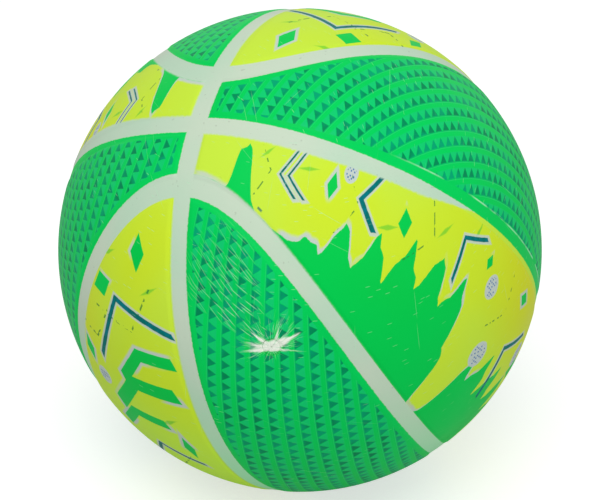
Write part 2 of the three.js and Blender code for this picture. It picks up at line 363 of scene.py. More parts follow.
def rowNumber(chart, start, perAcross, perAlong, perBoth, perAlongTwice):
    u, v = chart.along, chart.across
    return v * (u * perBoth + perAcross) + u * (u * perAlongTwice + perAlong) + start


def trianglePattern(chart, depth, ovalSide):  # dark and light triangles, a painted highlight along each row's ridge, and painted shade in its creases
    board, u, v = chart.board, chart.along, chart.across
    rows = board.between(ovalSide, rowNumber(chart, *printing["bandRows"]), rowNumber(chart, *printing["ovalRows"]))
    across = rows.part()
    # In the ovals the triangles slant a little more and stand a little closer
    along = ((u + v * (0.2 + ovalSide * 0.05)) / (printing["step"] - ovalSide * 0.05)).part()
    ridge = abs(along * 2 - 1)
    blur = (chart.noise(700.0) - 0.5) * 0.16
    rowDepth = printing["depth"]
    slant = across / rowDepth + ridge / printing["base"] + blur
    depth = board.least(depth, abs(chart.fromCross) - printing["patternFromCross"]) - printing["patternMargin"]
    inside = depth.rise(-0.1, 0.1)
    dark = slant.rise(1.07, 0.93) * across.rise(0.01, 0.06) * inside
    light = slant.rise(1.02, 1.16) * across.rise(rowDepth + 0.05, rowDepth - 0.05) * inside
    # painted shade in the crease at each row's base
    creaseShade = (0.5 - abs(across - 0.5)).rise(0.035, 0.005) * inside
    # a painted highlight along the ridge of each row
    line = abs(across - printing["ridgeHighlightPlace"]).rise(0.04, 0.01) * inside
    return dark, light * across.rise(0.04, 0.12), line, creaseShade


def hairlines(chart, turn, length, share, seed, lane):  # straight lines at about one angle, some lanes bare
    # Whole numbers at the seed, the track and the cell only keep the draws apart
    board = chart.board
    c, s = cos(turn), sin(turn)
    along = (chart.along * c + chart.across * s) / length
    across = (chart.across * c - chart.along * s) / lane
    track = board.math("FLOOR", across)
    shifted = along + board.chance(track, seed) * 7
    cell = board.math("FLOOR", shifted)
    fromEnd = shifted.part() - 0.5
    shown = board.chance(cell + seed * 3, track * 5).rise(1 - share, 1.001 - share)
    middle = board.chance(track + cell * 17, cell) * 0.8 + 0.1
    beside = (across.part() - middle + fromEnd * 0.22) * lane  # degrees to one side of the line
    return beside, abs(fromEnd).rise(0.5, 0.2) * shown


# Fine scratches, painted whitish as highlights where they catch the light, in three layers: turn, length, width,
# share of places that have one, seed and lane in degrees
scratches = (
    (0.35, 8.0, 0.07, 0.04, 1.0, 2.6),
    (-0.75, 12.0, 0.07, 0.05, 2.0, 2.6),
    (-1.1, 1.5, 0.10, 0.06, 4.0, 1.2),
)


def scratchesAndGlints(chart):
    board = chart.board
    total = 0.0
    for turn, length, width, share, seed, lane in scratches:
        beside, there = hairlines(chart, turn, length, share, seed, lane)
        total = abs(beside).rise(width, 0.0) * there + total
    worn = chart.noise(22.0).rise(0.42, 0.62)
    return board.least(total, 1.0) * (0.12 + worn * 0.7)


# Whitish core round the valve, with painted highlights and painted shade on the creases that run out from it: wedges
# from a start to an end in the chart, and how wide each begins
burst = {
    "middle": (21.42, 38.32),
    "wedges": [((1.6, 0.0), (-6.4, 0.6), 1.8), ((0.4, 0.1), (6.9, 1.3), 1.35), ((-0.4, 0.2), (-3.4, 4.0), 1.1),
               ((1.2, 0.4), (2.4, 3.2), 0.9), ((-1.4, 0.4), (-6.0, 2.6), 0.7)],
    "thinWedge": ((1.2, -0.7), (4.6, -2.1), 0.3),
    "lowerEdge": (0.97, 0.217),  # the white ends below in a nearly straight line: its depth and slope
    "tilt": -14.5,  # degrees, of the gathered mouth against the chart
    "fanTurn": 118,  # degrees, the way the long streaks run
    "fanReach": 34,
    "fanEdge": (0.86, 0.97),  # cosine of the angle from its middle line, where it fades in
    "fanLayers": ((-0.08, 6.2, 0.46, 11.0, 0.8), (-0.27, 4.4, 0.38, 12.0, 0.7)),  # turn, length, share, seed, lane
    "nearReach": 10,
    "shorterBelow": 6,
    # Rays: how close they stand, how fast they change outwards, detail and roughness of the coarse and the fine ones
    "rays": ((9, 0.12, 3.0, 0.7), (22, 0.25, 2.0, 0.6)),
    "streakGlintInk": 0.75,
    "shadeInk": 0.5,
    "coreInk": 0.97,
}


def wedge(board, a, b, start, end, width):  # above 0 inside a long thin wedge
    length = hypot(end[0] - start[0], end[1] - start[1])
    c, s = (end[0] - start[0]) / length, (end[1] - start[1]) / length
    along = a * c + b * s - (start[0] * c + start[1] * s)
    across = abs(b * c - a * s - (start[1] * c - start[0] * s))
    return board.least(width - along * (width / length) - across, along + width * 0.4)


def valveBurst(chart):  # whitish core, and the streaks and fine rays that run out from the valve as painted highlights, with painted shade beside them
    board = chart.board
    wander = board.noise(board.join(chart.across, chart.along), 0.9, 3.0) - 0.5
    a = chart.across - burst["middle"][0] + wander * 0.5
    b = chart.along - burst["middle"][1] + wander * 0.4
    far = board.math("SQRT", board.most(a * a + b * b, 1e-4))
    ca, sb = a / far, b / far
    here = chart.x.rise(0.0, -0.01)
    spokes, fine = (board.noise(board.join(ca * close, sb * close, far * change), 1.0, detail, rough)
                    for close, change, detail, rough in burst["rays"])
    fanTurn = radians(burst["fanTurn"])
    fan = (ca * cos(fanTurn) + sb * sin(fanTurn)).rise(*burst["fanEdge"])
    below = sb.rise(-0.15, -0.6)
    fade = (far / (burst["nearReach"] - below * burst["shorterBelow"])).rise(1.0, 0.25)
    mixed = spokes * 0.5 + fine * 0.5
    # painted highlights: the fine rays, where the valve's creases catch the light
    rays = (mixed + fade * 0.06).rise(0.56, 0.64) * fade
    # painted shade beside them
    dark = mixed.rise(0.44, 0.36) * fade * far.rise(2.5, 5.0)
    fanFade = far.rise(burst["fanReach"], burst["fanReach"] * 0.55) * far.rise(1.5, 3.5) * fan
    near = far.rise(22, 8) * 0.5 + 0.5
    # the long streaks of the fan, painted highlights with painted shade beside each
    for turn, length, share, seed, lane in burst["fanLayers"]:
        beside, there = hairlines(chart, pi / 2 - fanTurn + turn, length, share, seed, lane)
        there = there * fanFade * near
        rays = board.most(rays, abs(beside).rise(0.14, 0.02) * there)
        dark = board.most(dark, abs(beside - 0.25).rise(0.2, 0.05) * there)
    # the whole fan takes a little of the painted shade as a teal tint
    rays, dark = rays * here, board.most(dark, fanFade * 0.3) * here
    core = board.most(*(wedge(board, a, b, *spec) for spec in burst["wedges"]))
    depth, slope = burst["lowerEdge"]
    core = board.least(core, (b + a * slope + depth) * 1.5)
    core = board.most(wedge(board, a, b, *burst["thinWedge"]), core)
    core = (core + (spokes - 0.5) * 1.2 * far.rise(0.8, 3.0)).rise(-0.25, 0.45) * here
    return rays, dark, core, spokes


def burstOver(board, colour, parts):  # draws those four over a colour: painted shade, painted highlights of the streaks, and the whitish core with painted shade in its grooves
    rays, shade, core, spokes = parts
    # the core, with painted shade in the grooves between its folds
    bare = board.blend(spokes.rise(0.56, 0.34) * 0.8, palette["burst"], palette["burstShade"])
    return board.paint(colour, (shade * burst["shadeInk"], palette["tealDeep"]),
                       (rays * burst["streakGlintInk"], palette["scratchGlint"]), (core * burst["coreInk"], bare))


def skinMaterial(name, build):
    material = bpy.data.materials.new(name)
    board = emptyBoard(material)
    board.end("ShaderNodeOutputMaterial", board.add("ShaderNodeBsdfPrincipled", {}, build(board)))
    return material


rubber = {"specular": 0.045, "roughness": 0.42, "bump": 0.55, "bumpHeight": 0.00012}


def paleGround(chart):  # bare rubber, as in the channels
    board = chart.board
    ground = board.blend(chart.noise(14.0, 3.0).rise(0.35, 0.65), palette["rubber"], palette["rubberCool"])
    specks = chart.noise(520.0, 1.0).rise(0.73, 0.78)
    # painted light: the bare rubber is lighter and greener low down; the specks are dirt
    return board.paint(ground, (chart.low * 0.8, palette["rubberLowPaintedLight"]), (specks * 0.22, palette["speck"]))


def greenInk(chart, depth, ovalSide):  # colour and relief
    board = chart.board
    dark, light, line, creaseShade = trianglePattern(chart, depth, ovalSide)
    cloud, worn = chart.noise(18.0), chart.noise(90.0)
    ground = board.blend(cloud, palette["green"], palette["greenDeep"])
    teal = board.blend(worn.rise(0.35, 0.65), palette["teal"], palette["tealDeep"])
    # A rubbed line along the panel's edge, painted lighter as a highlight of the edge, where the green laps over the
    # channel
    rubbedEdgeGlint = abs(chart.fromCross - printing["rubbedGlintLine"]).rise(0.24, 0.08)
    rubbedEdgeGlint = rubbedEdgeGlint * chart.fromPole.rise(42, 54) * worn.rise(0.36, 0.52)
    # mint is a painted highlight along each row's ridge; teal in the crease is painted shade
    colour = board.paint(ground, (light * (0.55 + cloud * 0.4), palette["greenSoft"]), (line * 0.25, palette["mintHighlight"]),
                         (creaseShade * 0.5, palette["teal"]), (dark * (0.78 + worn * 0.3), teal),
                         (rubbedEdgeGlint * 0.7, palette["scratchGlint"]))
    return colour, light * 0.4 + line * 0.6 - dark * 0.45 - creaseShade * 0.5


def sawTeeth(value):  # runs 0 to 1 and back
    return abs(value.part() * 2 - 1)


def turned(chart, middle, turn):  # a point's place from the middle of a figure, along and across it
    c, s = cos(radians(turn)), sin(radians(turn))
    a, b = chart.across - middle[0], chart.along - middle[1]
    return a * c + b * s, b * c - a * s


# Degrees outside a figure, negative within


def chevron(chart, middle, half, turn, bend):  # a bar bent at its middle, with the slope of its arms
    along, across = turned(chart, middle, turn)
    along = abs(along)
    wide = abs(across + (along - half[0] * 0.5) * bend) - half[1]
    return chart.board.most(along - half[0], wide)


def lozenge(chart, middle, half, turn):
    along, across = turned(chart, middle, turn)
    return (abs(along) / half[0] + abs(across) / half[1] - 1) * min(half)


def disc(chart, middle, radius):
    a, b = chart.across - middle[0], chart.along - middle[1]
    return chart.board.math("SQRT", chart.board.most(a * a + b * b, 1e-5)) - radius


# Plain lozenges, chevrons and spots: each with its middle in the chart (across, along), its half sizes and its turn
yellowPrint = {
    "lozenges": [((-13, 60), (2.4, 4.4), 0), ((-26, 50), (3.6, 3.0), 24), ((-34, 30), (1.8, 3.6), 16),
                 ((-9, 9), (1.5, 4.4), 4), ((-31, -2), (2.4, 3.6), 8), ((19.5, 79), (1.3, 2.6), -16),
                 ((44, 68), (1.6, 3.2), -34), ((61, 50), (2.2, 3.4), -30), ((79, 20), (2.0, 1.6), 10),
                 ((82, -8), (1.8, 3.0), 0), ((66, -30), (3.2, 4.6), 10), ((-12, -52), (3.4, 4.6), -12)],
    "bars": [((-13.5, 34), (9.5, 1.7), 24), ((-17, 25), (11.5, 2.1), 24), ((-21, 15), (9.0, 1.6), 24),
             ((-25, -12), (8.0, 2.0), 20), ((-21, -24), (9.5, 1.7), 20), ((-20, -38), (8.0, 2.1), 9)],
    "stripes": [((-18, 42.5), (14.0, 0.85), 24), ((32.0, 74.5), (5.6, 0.34), 76), ((34.4, 73.5), (5.6, 0.34), 76),
                ((53.5, 60), (6.6, 0.85), 54), ((75, 30), (7.6, 0.7), -12), ((68, -14), (10.0, 0.8), -24),
                ((-18, 2), (9.0, 0.7), 20), ((60, -44), (9.0, 0.8), -34)],
    "dashes": [((-17, 45.6), (12.0, 0.28), 24), ((-30, 38.5), (8.0, 0.3), 24), ((25, 77), (5.6, 0.22), 76),
               ((48, 62), (7.0, 0.22), 54), ((66, 44), (8.6, 0.22), 26), ((76, 4), (7.6, 0.25), -8),
               ((-18, -1), (9.0, 0.28), 20)],
    "spots": [((50, 68.5), 1.9), ((76, 14), 2.6), ((64, 2), 2.9), ((70, -26), 3.0), ((-30, 24), 2.1),
              ((-16, -46), 2.6)],
    "smears": [((26, 81), (2.2, 0.45), 20), ((38, 74), (2.8, 0.5), -20), ((56, 52), (3.0, 0.6), -30),
               ((71, 40), (2.8, 0.55), -10), ((80, 30), (3.0, 0.5), 0), ((-9, 52), (2.6, 0.5), 24),
               ((-24, 58), (2.4, 0.5), 24), ((-11, 18), (3.0, 0.6), 24), ((64, -38), (3.6, 0.6), -26)],
    "barBend": 0.5,
    "stripeBend": 0.9,
    "dashBend": -0.7,
    "rimMarks": (1.1, 0.34),  # degrees from the print's edge, and half the width
    # The green mass: turns where each hill rises and falls, and its height, which may change over a stretch
    "hills": (((20, 40), (80, 73), (5, (34, 66, 10))), ((85, 90), (132, 112), (11,)), ((10, 12), (18, 14), (4.5,))),
    "teeth": ((8.2, 0.35, 7.0), (3.1, 0.3, 1.2)),  # length, start and height of each set
}


def greenMass(chart, turn, outside):  # the toothed green mass, by its height over the oval seam
    level = teeth = 0.0
    for up, down, height in yellowPrint["hills"]:
        level = turn.rise(*up) * turn.rise(*down) * overWay(turn, *height) + level
    for length, start, height in yellowPrint["teeth"]:
        teeth = sawTeeth(turn / length + start) * height + teeth
    mass = outside - level - teeth * level.rise(1.0, 6.0)
    return mass + chart.across.rise(0.2, -0.2) * 10000  # none inside the ovals


def yellowInk(chart):  # colour and relief
    board, u, v = chart.board, chart.along, chart.across
    cloud, broad = chart.noise(11.0), chart.noise(34.0, 1.0)
    rough = (chart.noise(260.0, 3.0, 0.6) - 0.5) * 0.9
    outside = chart.oval(*printing["ovalOuter"])
    turn = board.math("ARCTAN2", v, u) * (180 / pi)  # from the front crossing

    def nearest(kind, outline, *bend):
        return board.least(*(outline(chart, *figure, *bend) for figure in yellowPrint[kind]))

    mass = greenMass(chart, turn, outside) + rough * 0.6
    blocks = board.least(mass, nearest("lozenges", lozenge), nearest("bars", chevron, yellowPrint["barBend"]))
    blocks = blocks + rough * 0.35
    green = blocks.rise(0.10, -0.10)
    stripes = nearest("stripes", chevron, yellowPrint["stripeBend"])
    stripe = (stripes + rough * 0.45).rise(0.10, -0.10)
    broken = board.noise(board.join(v * 0.55, u * 0.55), 1.0, 1.0).rise(0.50, 0.54)
    dash = nearest("dashes", chevron, yellowPrint["dashBend"]).rise(0.08, -0.06) * broken
    smear = (nearest("smears", lozenge) + rough * 0.5).rise(0.25, -0.2)
    halo = board.most(blocks.rise(1.3, 0.5) * broad.rise(0.47, 0.56), stripes.rise(1.0, 0.5) * 0.9)
    rimPlace, rimHalf = yellowPrint["rimMarks"]
    marks = abs(abs(outside) - rimPlace).rise(rimHalf, rimHalf * 0.5)
    marks = marks * chart.noise(210.0, 1.0).rise(0.58, 0.62) * broad.rise(0.5, 0.45)

    # Round spots, with small diamonds in some cells of a slanting grid
    spots = nearest("spots", disc)
    cellX, cellY = v * 1.35 + u * 0.2, u * 1.15 - v * 0.1
    toMiddle = abs(cellX.part() - 0.5) + abs(cellY.part() - 0.5)
    picked = board.chance(board.math("FLOOR", cellX), board.math("FLOOR", cellY)).rise(0.30, 0.32)
    diamonds = toMiddle.rise(0.42, 0.34) * picked * spots.rise(-0.1, -0.5)

    ground = board.blend(cloud.rise(0.4, 0.62), palette["yellow"], palette["yellowWarm"])
    greenTone = board.blend(cloud, palette["green"], palette["block"])
    barTone = board.blend(rough.rise(-0.05, 0.1), palette["bar"], palette["barLight"])
    # painted light: a lighter yellow low down
    # painted reflection: a warmer yellow towards the sides
    colour = board.paint(ground, (chart.sidesReflection * 0.7, palette["yellowSidesPaintedReflection"]), (chart.low * 0.8, palette["yellowLowPaintedLight"]),
                         (smear * 0.7, palette["smear"]), (halo * 0.92, palette["halo"]),
                         (marks * 0.8, palette["bar"]), (green, greenTone),
                         ((spots + rough * 0.5).rise(0.5, 0.2) * 0.95, palette["halo"]),
                         (dash * 0.8, palette["dash"]), (stripe, barTone), (diamonds * 0.85, palette["blue"]))
    return colour, green * 0.5 + stripe * 0.4 + diamonds * 0.3 - halo * 0.2


def finishSkin(chart, colour, relief):
    board = chart.board
    # the scratches are wear, painted whitish as highlights where they catch the light
    scratchedAndGlinting = scratchesAndGlints(chart)
    coarse = chart.noise(60.0, 3.0)
    height = relief + chart.noise(1500.0) * 0.18 + coarse * 0.35 - scratchedAndGlinting * 0.6
    return {
        "Base Color": board.blend(scratchedAndGlinting * 0.65, colour, palette["scratchGlint"]),
        "Roughness": rubber["roughness"] + (coarse - 0.5) * 0.16 + scratchedAndGlinting * 0.15,
        "Normal": board.bump(rubber["bump"], rubber["bumpHeight"], height),
        "Specular IOR Level": rubber["specular"],
    }


def coverSkin(kind, withValve=False):
    def build(board):
        chart = Chart(board)
        green, yellow, greenSide = inkMasks(chart)
        colour = paleGround(chart)
        if kind == "yellow":
            inkColour, relief = yellowInk(chart)
            shown = yellow.rise(-0.30, 0.42)
        else:
            inkColour, relief = greenInk(chart, green, greenSide)
            shown = green.rise(-0.12, 0.12)
        if kind == "seam":  # the strips take both inks where the print laps over the channel
            colour = board.blend(yellow.rise(0.0, 0.7), colour, palette["yellow"])
        colour = board.blend(shown, colour, inkColour)
        relief = relief * shown
        if withValve:
            rays, shade, core, spokes = parts = valveBurst(chart)
            # the valve's whitish core, with painted highlights and painted shade on its creases
            colour = burstOver(board, colour, parts)
            relief = relief * (1 - core) + rays * 0.4 - shade * 0.4 + core * spokes * 2.5
        return finishSkin(chart, colour, relief)

    return build


materials = {
    "green": skinMaterial("green_printed_rubber", coverSkin("green")),
    "greenValve": skinMaterial("green_rubber_round_valve", coverSkin("green", True)),
    "yellow": skinMaterial("yellow_printed_rubber", coverSkin("yellow")),
    "seam": skinMaterial("pale_seam_rubber", coverSkin("seam")),
}
print("printed skins made")


def plainSkin(first, second, scale, roughness, bump):
    def build(board):
        place = board.add("ShaderNodeTexCoord", output="Object")
        cloud = board.noise(place, scale, 3.0)
        grain = board.noise(place, scale * 14, 2.0)
        scuffs = board.noise(place, scale * 3, 4.0, 0.7).rise(0.58, 0.7)
        colour = board.blend(cloud.rise(0.35, 0.65), first, second)
        return {
            "Base Color": board.blend(scuffs * 0.3, colour, (*(0.7 * c for c in second[:3]), 1)),
            "Roughness": roughness + (grain - 0.5) * 0.2,
            "Normal": board.bump(bump, 0.0001, cloud + grain),
            "Specular IOR Level": 0.3,
        }

    return build


def valveSkin(first, second, roughness):  # bare below the cover; on top printed, with the valve's whitish core, painted highlights and painted shade over it
    def build(board):
        chart = Chart(board)
        parts = valveBurst(chart)
        spokes = parts[-1]
        top = board.vector("LENGTH", chart.place, output="Value").rise(*valve["printed"])
        grain = chart.noise(2600.0, 3.0)
        bare = board.blend(chart.noise(500.0).rise(0.4, 0.6), first, second)
        # painted shade: the print is darker in the grooves between the folds
        printed = board.blend(spokes.rise(0.35, 0.65), palette["greenDeep"], palette["green"])
        return {
            "Base Color": board.blend(top, bare, burstOver(board, printed, parts)),
            "Roughness": roughness + (grain - 0.5) * 0.2,
            "Normal": board.bump(0.6, 0.00015, spokes * 1.6 + grain * 0.4),
            "Specular IOR Level": 0.12,
        }

    return build


for key, name, build in (
        ("carcass", "milky_carcass_rubber", plainSkin(ink(214, 220, 207), ink(196, 204, 188), 60, 0.6, 0.5)),
        ("bladder", "black_bladder_rubber", plainSkin(ink(51, 48, 45), ink(38, 36, 34), 40, 0.55, 0.6)),
        ("valve", "off_white_valve_rubber", valveSkin(ink(226, 234, 218), ink(204, 220, 198), 0.42)),
        ("plug", "white_plug_plastic", valveSkin(ink(240, 244, 234), ink(222, 232, 216), 0.38))):
    materials[key] = skinMaterial(name, build)

# Formulas that also shaped the CAD model, for whole arrays of points


def onBallMany(polar, turn):
    return np.stack([np.cos(polar), np.sin(polar) * np.sin(turn), np.sin(polar) * np.cos(turn)], -1)


def ringSeam(halfLength, halfWidth):
    def seam(turn):
        polar = halfLength * halfWidth / np.hypot(halfWidth * np.cos(turn), halfLength * np.sin(turn))
        return onBallMany(polar, turn)

    return seam


ovalSeam = ringSeam(ball["ovalHalfLength"], ball["ovalHalfWidth"])
crossSeam = ringSeam(pi / 2, pi / 2)


def beside(seam, turn, angle):  # beside a seam's middle line, away from +X where the angle is positive
    turn = np.asarray(turn, float)
    step = 1e-4
    middle = seam(turn)
    outward = np.cross(middle, seam(turn + step) - seam(turn - step))
    outward /= np.linalg.norm(outward, axis=-1, keepdims=True)
    return middle * np.cos(angle) + outward * np.sin(angle)


def turnClearOf(seam, angle, margin):  # where a seam's neighbour line leaves the long seam's channel, by halving
    low, high = 0.0, pi / 2
    for _ in range(40):
        middle = (low + high) / 2
        if beside(seam, middle, angle)[1] < sin(margin):
            low = middle
        else:
            high = middle
    return high


def ovalPanelRule(margin):  # half an oval: a patch between its straight edge and three stretches of its rim
    def flat(direction):
        polar = np.arccos(direction[..., 0])
        turn = np.arctan2(direction[..., 1], direction[..., 2])
        return np.stack([polar * np.cos(turn), polar * np.sin(turn)], -1)

    start = turnClearOf(ovalSeam, -margin, margin)
    corner = atan2(ball["ovalHalfWidth"], ball["ovalHalfLength"])
    tip = beside(ovalSeam, start, -margin)
    reach = atan2(tip[2], tip[0])

    def straight(s):
        angle = reach * (1 - 2 * s)
        side = cos(margin)
        return flat(np.stack([side * np.cos(angle), np.full_like(s, sin(margin)), side * np.sin(angle)], -1))

    def rim(turn):
        return flat(beside(ovalSeam, turn, -margin))

    def near(t):
        return rim(start + (corner - start) * t)

    def far(t):
        return rim(pi - start + (start - corner) * t)

    def rule(s, t):
        one = np.ones(1)
        corners = [near(0 * one)[0], far(0 * one)[0], near(one)[0], far(one)[0]]
        a, b = s[..., None], t[..., None]
        place = straight(s) * (1 - b) + rim(corner + (pi - 2 * corner) * s) * b + near(t) * (1 - a) + far(t) * a
        place = place - corners[0] * (1 - a) * (1 - b) - corners[1] * a * (1 - b)
        place = place - corners[2] * (1 - a) * b - corners[3] * a * b
        return onBallMany(np.hypot(place[..., 0], place[..., 1]), np.arctan2(place[..., 1], place[..., 0]))

    return rule


# Panels in mesh code: an outer and an inner skin, and a rounded edge of several loops between them

panelMesh = {"ovalSteps": (170, 50), "edgeLoops": 6}


def softStep(share):  # how far down the edge of a panel has come
    return share * share * (3 - 2 * share)


def panelPoints(rule, along, across, quarter):
    top = ball["radius"]
    loops = panelMesh["edgeLoops"]
    s, t = np.meshgrid(np.linspace(0, 1, along + 1), np.linspace(0, 1, across + 1), indexing="ij")
    rim = [(i, 0) for i in range(along)] + [(along, j) for j in range(across)]
    rim += [(i, across) for i in range(along, 0, -1)] + [(0, j) for j in range(across, 0, -1)]
    rimS, rimT = np.array(rim).T / np.array([[along], [across]])
    points = [rule(panelMargin + edgeMargin)(s, t).reshape(-1, 3) * top]
    for k in range(1, loops + 1):
        margin = panelMargin + edgeMargin * (1 - k / loops)
        points.append(rule(margin)(rimS, rimT) * (top - ball["seamDepth"] * softStep(k / loops)))
    points.append(rule(panelMargin)(s, t).reshape(-1, 3) * panelInside)
    count, length = s.size, len(rim)
    base = count + loops * length
    faces = []
    for i in range(along):
        for j in range(across):
            a, b = i * (across + 1) + j, (i + 1) * (across + 1) + j
            faces.append((a, b, b + 1, a + 1))
            faces.append((base + a + 1, base + b + 1, base + b, base + a))
    index = [i * (across + 1) + j for i, j in rim]
    rings = [index] + [range(count + k * length, count + (k + 1) * length) for k in range(loops)]
    rings.append([base + n for n in index])
    for upper, lower in zip(rings, rings[1:]):
        for n in range(length):
            m = (n + 1) % length
            faces.append((lower[n], lower[m], upper[m], upper[n]))
    turn = np.array((ballTurn @ quarter).to_matrix())
    return np.concatenate(points) @ turn.T, faces


def shadeRound(mesh):  # smooth, with real corners left sharp
    mesh.polygons.foreach_set("use_smooth", [True] * len(mesh.polygons))
    mesh.set_sharp_from_angle(angle=radians(45))


def rework(piece, change):  # changes a piece's mesh and turns its faces outward
    edit = bmesh.new()
    edit.from_mesh(piece.data)
    change(edit)
    bmesh.ops.recalc_face_normals(edit, faces=edit.faces)
    edit.to_mesh(piece.data)
    edit.free()
    shadeRound(piece.data)


def meshPiece(name, points, faces, material, smooth=True):
    mesh = bpy.data.meshes.new(name)
    mesh.from_pydata([tuple(p) for p in points], [], faces)
    mesh.materials.append(material)
    mesh.update()
    piece = bpy.data.objects.new(name, mesh)
    bpy.context.scene.collection.objects.link(piece)
    if smooth:
        shadeRound(mesh)
    return piece


panelColours = {
    "oval_panel_upper_left": "green", "oval_panel_upper_right": "yellow",
    "oval_panel_lower_left": "yellow", "oval_panel_lower_right": "greenValve",
    "side_panel_upper_left": "yellow", "side_panel_upper_right": "green",
    "side_panel_lower_left": "green", "side_panel_lower_right": "yellow",
}


def pressFlat(mesh):  # the contact flat under the ball
    for vertex in mesh.vertices:
        vertex.co.z = max(vertex.co.z, floorHeight)


# How the cover is pulled in round the valve
mouth = {
    "across": 0.0050,
    "up": 0.0039,
    "wrinkles": 0.0004,
    "overlap": 0.0002,  # of the cover over the plug's joint
    "lipStart": 0.0042,
    "rim": 0.0016,
    "lip": 0.0001,
    "ridge": 0.00016,
    "raised": 0.6,  # share of a ridge that rises over the cover
    "reach": 0.011,
    "smoothed": 0.0176,
    "finer": (0.026, 0.018, 0.012),  # within each of these the faces are split once more
    "above": 0.09,  # along the valve's axis, so that the other side of the ball stays out
    "skin": 0.0006,  # what lies higher than this under the top is the outer skin
}
valveDirection = ballTurn @ valveAxis
mouthUp = (ballAxes[2] - valveDirection * ballAxes[2].dot(valveDirection)).normalized()
mouthUp.rotate(Quaternion(valveDirection, radians(burst["tilt"])))
mouthSide = mouthUp.cross(valveDirection).normalized()


def wrinkle(angle):  # fixed sum of waves round the mouth, about -1 to 1
    waves = ((0.5, 5, 0.7), (0.3, 9, 2.1), (0.2, 16, 0.4), (0.12, 27, 0))
    return sum(height * sin(count * angle + start) for height, count, start in waves)


def roundMouth(vertex):  # how far from the valve's axis, and the turn round it
    flat = vertex.co - valveDirection * vertex.co.dot(valveDirection)
    return flat.length, atan2(flat.dot(mouthUp), flat.dot(mouthSide))


def withinMouth(vertex, reach):
    return vertex.co.dot(valveDirection) > mouth["above"] and roundMouth(vertex)[0] < reach


def openMouth(edit):
    skin = ball["radius"] - mouth["skin"]
    for reach in mouth["finer"]:
        edges = [edge for edge in edit.edges if all(withinMouth(v, reach) for v in edge.verts)]
        bmesh.ops.subdivide_edges(edit, edges=edges, cuts=1, use_grid_fill=True)
        for v in edit.verts:
            if withinMouth(v, reach):
                v.co = v.co.normalized() * (ball["radius"] if v.co.length > skin else panelInside)
    doomed = []
    for v in edit.verts:
        angle = roundMouth(v)[1]
        edge = 1 / hypot(cos(angle) / mouth["across"], sin(angle) / mouth["up"]) + mouth["wrinkles"] * wrinkle(angle)
        if withinMouth(v, max(edge, valve["headRadius"] + valve["gap"]) - mouth["overlap"]):
            doomed.append(v)
    bmesh.ops.delete(edit, geom=doomed, context="VERTS")
    bmesh.ops.bridge_loops(edit, edges=[edge for edge in edit.edges if edge.is_boundary])
    for v in edit.verts:
        if withinMouth(v, mouth["smoothed"]) and v.co.length > skin:
            far, angle = roundMouth(v)
            fade = max(0.0, 1 - far / mouth["reach"])
            lip = min(1.0, max(0.0, 1 - (far - mouth["lipStart"]) / mouth["rim"]))
            height = mouth["ridge"] * fade * wrinkle(angle) - mouth["lip"] * lip**2
            v.co = v.co.normalized() * (ball["radius"] + min(height, height * mouth["raised"]))


def makeOvalPanels():
    for quarter, turn in quarters.items():
        name = "oval_panel_" + quarter
        colour = panelColours[name]
        points, faces = panelPoints(ovalPanelRule, *panelMesh["ovalSteps"], turn)
        panel = meshPiece("cover_" + name, points, faces, materials[colour])
        if quarter == "lower_left":
            pressFlat(panel.data)
        if colour == "greenValve":
            rework(panel, openMouth)
        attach(panel, "ball")
        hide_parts(name)


makeOvalPanels()
print("oval panels made")

# Geometry Nodes: the side panels and the seam strips follow rules


class Shape(Board):  # a Geometry Nodes tree with named inputs, listed by their kind
    def __init__(self, name, inputs, output="Geometry"):
        tree = bpy.data.node_groups.new(name, "GeometryNodeTree")
        super().__init__(tree)
        self.sockets = {}
        for kind, labels in inputs.items():
            for label in labels:
                item = tree.interface.new_socket(label, in_out="INPUT", socket_type="NodeSocket" + kind)
                self.sockets[label] = item.identifier
        tree.interface.new_socket("Result", in_out="OUTPUT", socket_type="NodeSocket" + output)
        self.entry = tree.nodes.new("NodeGroupInput")

    def given(self, label):
        return Term(self, self.entry.outputs[label])

    def close(self, geometry, material):
        real = self.add("GeometryNodeRealizeInstances", {}, {"Geometry": geometry})
        self.end("NodeGroupOutput", self.add("GeometryNodeSetMaterial", {}, {"Geometry": real, "Material": material}))

    def times(self, vector, factor):
        return self.add("ShaderNodeVectorMath", {"operation": "SCALE"}, {0: vector, 3: factor})

    def place(self, geometry, position, **more):
        inputs = {"Geometry": geometry, "Position": position, **more}
        return self.add("GeometryNodeSetPosition", {}, inputs)

    def grid(self, along, across):  # a sheet of 1 by 1
        inputs = {"Size X": 1.0, "Size Y": 1.0, "Vertices X": along, "Vertices Y": across}
        return self.add("GeometryNodeMeshGrid", {}, inputs)

    def ringPoint(self, halfLength, halfWidth, turn):  # a point of a ring seam
        c, s = self.math("COSINE", turn), self.math("SINE", turn)
        a, b = halfWidth * c, halfLength * s
        polar = halfLength * halfWidth / self.math("SQRT", a * a + b * b)
        flat = self.math("SINE", polar)
        return self.join(self.math("COSINE", polar), flat * s, flat * c)

    def besidePoint(self, halfLength, halfWidth, turn, angle):
        middle, ahead, behind = (self.ringPoint(halfLength, halfWidth, turn + step) for step in (0, 0.002, -0.002))
        out = self.vector("NORMALIZE", self.vector("CROSS_PRODUCT", middle, self.vector("SUBTRACT", ahead, behind)))
        first = self.times(middle, self.math("COSINE", angle))
        return self.vector("ADD", first, self.times(out, self.math("SINE", angle)))


